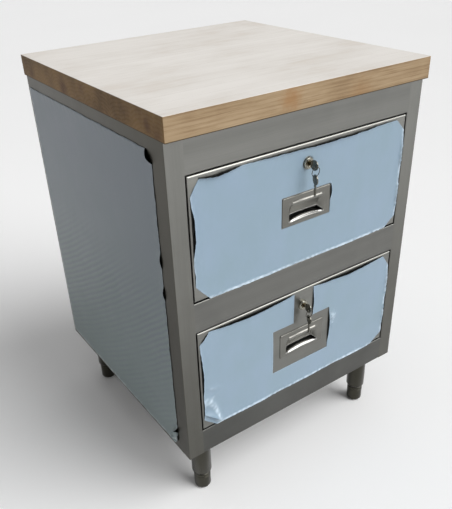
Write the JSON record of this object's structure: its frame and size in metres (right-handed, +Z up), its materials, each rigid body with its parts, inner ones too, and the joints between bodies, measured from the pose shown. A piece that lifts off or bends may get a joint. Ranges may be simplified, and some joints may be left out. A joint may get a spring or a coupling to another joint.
{
  "type": "reagent drawer cabinet",
  "caption": "Floor-standing steel reagent cabinet with inset lockable drawers, cup pulls, a thick maple worktop, peeling protective film and levelling legs.",
  "frame": {"origin": "on the floor under the middle of the whole cabinet's bounding box", "axes": "+X to the right as seen from the front, -Y out of the front, +Z up"},
  "size_m": [0.61, 0.6322, 0.889],
  "materials": {
    "maple": "oiled maple boards, fine even grain",
    "stainless_sheet": "fine-brushed stainless sheet",
    "stainless_tube": "satin stainless tube and feet",
    "zinc_steel": "bright zinc-plated steel",
    "tray_steel": "grey powder-coated sheet",
    "film_blue": "pale blue polyethylene protective film",
    "pull_steel": "pressed stainless pull",
    "pocket_black": "black moulded cup",
    "lock_chrome": "plated zinc lock case",
    "lock_brass": "brass plug",
    "key_nickel": "nickel-plated key and ring",
    "stop_rubber": "black rubber stop"
  },
  "bodies": {
    "cabinet": {"maple_top": "maple", "left_side_panel": "stainless_sheet", "right_side_panel": "stainless_sheet", "back_panel": "stainless_sheet", "base_pan": "stainless_sheet", "left_front_post": "stainless_sheet", "right_front_post": "stainless_sheet", "top_rail": "stainless_sheet", "middle_rail": "stainless_sheet", "bottom_rail": "stainless_sheet", "top_channels": "zinc_steel", "slide_uprights": "zinc_steel", "slide_outers": "zinc_steel", "slide_screws": "zinc_steel", "top_screws": "zinc_steel", "back_screws": "zinc_steel", "leg_bolts": "zinc_steel", "leg_tubes": "stainless_tube", "leg_inserts": "stainless_tube", "rear_bumpers": "stop_rubber", "left_side_film": "film_blue", "right_side_film": "film_blue"},
    "upper_drawer": {"upper_drawer_front": "stainless_sheet", "upper_tray": "tray_steel", "upper_tray_screws": "zinc_steel", "upper_film": "film_blue", "upper_pull_plate": "pull_steel", "upper_pull_pocket": "pocket_black", "upper_pull_nuts": "zinc_steel", "upper_lock_housing": "lock_chrome", "upper_lock_nut": "zinc_steel", "upper_slide_inners": "zinc_steel"},
    "upper_slide_middle": {"upper_slide_middles": "zinc_steel"},
    "upper_lock": {"upper_lock_plug": "lock_brass", "upper_lock_cam": "zinc_steel", "upper_cam_screw": "zinc_steel", "upper_key": "key_nickel"},
    "upper_ring": {"upper_key_ring": "key_nickel"},
    "upper_spare": {"upper_spare_key": "key_nickel"},
    "lower_drawer": {"lower_drawer_front": "stainless_sheet", "lower_tray": "tray_steel", "lower_tray_screws": "zinc_steel", "lower_film": "film_blue", "lower_pull_plate": "pull_steel", "lower_pull_pocket": "pocket_black", "lower_pull_nuts": "zinc_steel", "lower_lock_housing": "lock_chrome", "lower_lock_nut": "zinc_steel", "lower_slide_inners": "zinc_steel"},
    "lower_slide_middle": {"lower_slide_middles": "zinc_steel"},
    "lower_lock": {"lower_lock_plug": "lock_brass", "lower_lock_cam": "zinc_steel", "lower_cam_screw": "zinc_steel", "lower_key": "key_nickel"},
    "lower_ring": {"lower_key_ring": "key_nickel"},
    "lower_spare": {"lower_spare_key": "key_nickel"},
    "foot_front_left": {"foot_front_left": "stainless_tube"},
    "foot_front_right": {"foot_front_right": "stainless_tube"},
    "foot_rear_left": {"foot_rear_left": "stainless_tube"},
    "foot_rear_right": {"foot_rear_right": "stainless_tube"}
  },
  "joints": [
    {"name": "upper_drawer_slide", "type": "slide", "parent": "cabinet", "child": "upper_drawer", "axis": [0, -1, 0], "range_m": [0, 0.5]},
    {"name": "upper_middle_slide", "type": "slide", "parent": "cabinet", "child": "upper_slide_middle", "axis": [0, -1, 0], "range_m": [0, 0.25]},
    {"name": "upper_lock_turn", "type": "hinge", "parent": "upper_drawer", "child": "upper_lock", "pos_m": [0, -0.28372, 0.74], "axis": [0, 1, 0], "range_deg": [0, 90]},
    {"name": "upper_ring_swing", "type": "hinge", "parent": "upper_lock", "child": "upper_ring", "pos_m": [0, -0.30622, 0.7385], "axis": [-0.9976, -0.0698, 0], "range_deg": [0, 60]},
    {"name": "upper_spare_swing", "type": "hinge", "parent": "upper_ring", "child": "upper_spare", "pos_m": [0, -0.30622, 0.7191], "axis": [-0.9976, -0.0698, 0], "range_deg": [-15, 40]},
    {"name": "lower_drawer_slide", "type": "slide", "parent": "cabinet", "child": "lower_drawer", "axis": [0, -1, 0], "range_m": [0, 0.5]},
    {"name": "lower_middle_slide", "type": "slide", "parent": "cabinet", "child": "lower_slide_middle", "axis": [0, -1, 0], "range_m": [0, 0.25]},
    {"name": "lower_lock_turn", "type": "hinge", "parent": "lower_drawer", "child": "lower_lock", "pos_m": [0, -0.28372, 0.424], "axis": [0, 1, 0], "range_deg": [0, 90]},
    {"name": "lower_ring_swing", "type": "hinge", "parent": "lower_lock", "child": "lower_ring", "pos_m": [0, -0.30622, 0.4225], "axis": [-0.9976, -0.0698, 0], "range_deg": [0, 60]},
    {"name": "lower_spare_swing", "type": "hinge", "parent": "lower_ring", "child": "lower_spare", "pos_m": [0, -0.30622, 0.4031], "axis": [-0.9976, -0.0698, 0], "range_deg": [-15, 40]},
    {"name": "foot_front_left_level", "type": "slide", "parent": "cabinet", "child": "foot_front_left", "axis": [0, 0, -1], "range_m": [0, 0.02]},
    {"name": "foot_front_right_level", "type": "slide", "parent": "cabinet", "child": "foot_front_right", "axis": [0, 0, -1], "range_m": [0, 0.02]},
    {"name": "foot_rear_left_level", "type": "slide", "parent": "cabinet", "child": "foot_rear_left", "axis": [0, 0, -1], "range_m": [0, 0.02]},
    {"name": "foot_rear_right_level", "type": "slide", "parent": "cabinet", "child": "foot_rear_right", "axis": [0, 0, -1], "range_m": [0, 0.02]}
  ],
  "couplings": [
    {"joint": "upper_middle_slide", "follows": "upper_drawer_slide", "ratio": 0.5},
    {"joint": "lower_middle_slide", "follows": "lower_drawer_slide", "ratio": 0.5}
  ]
}
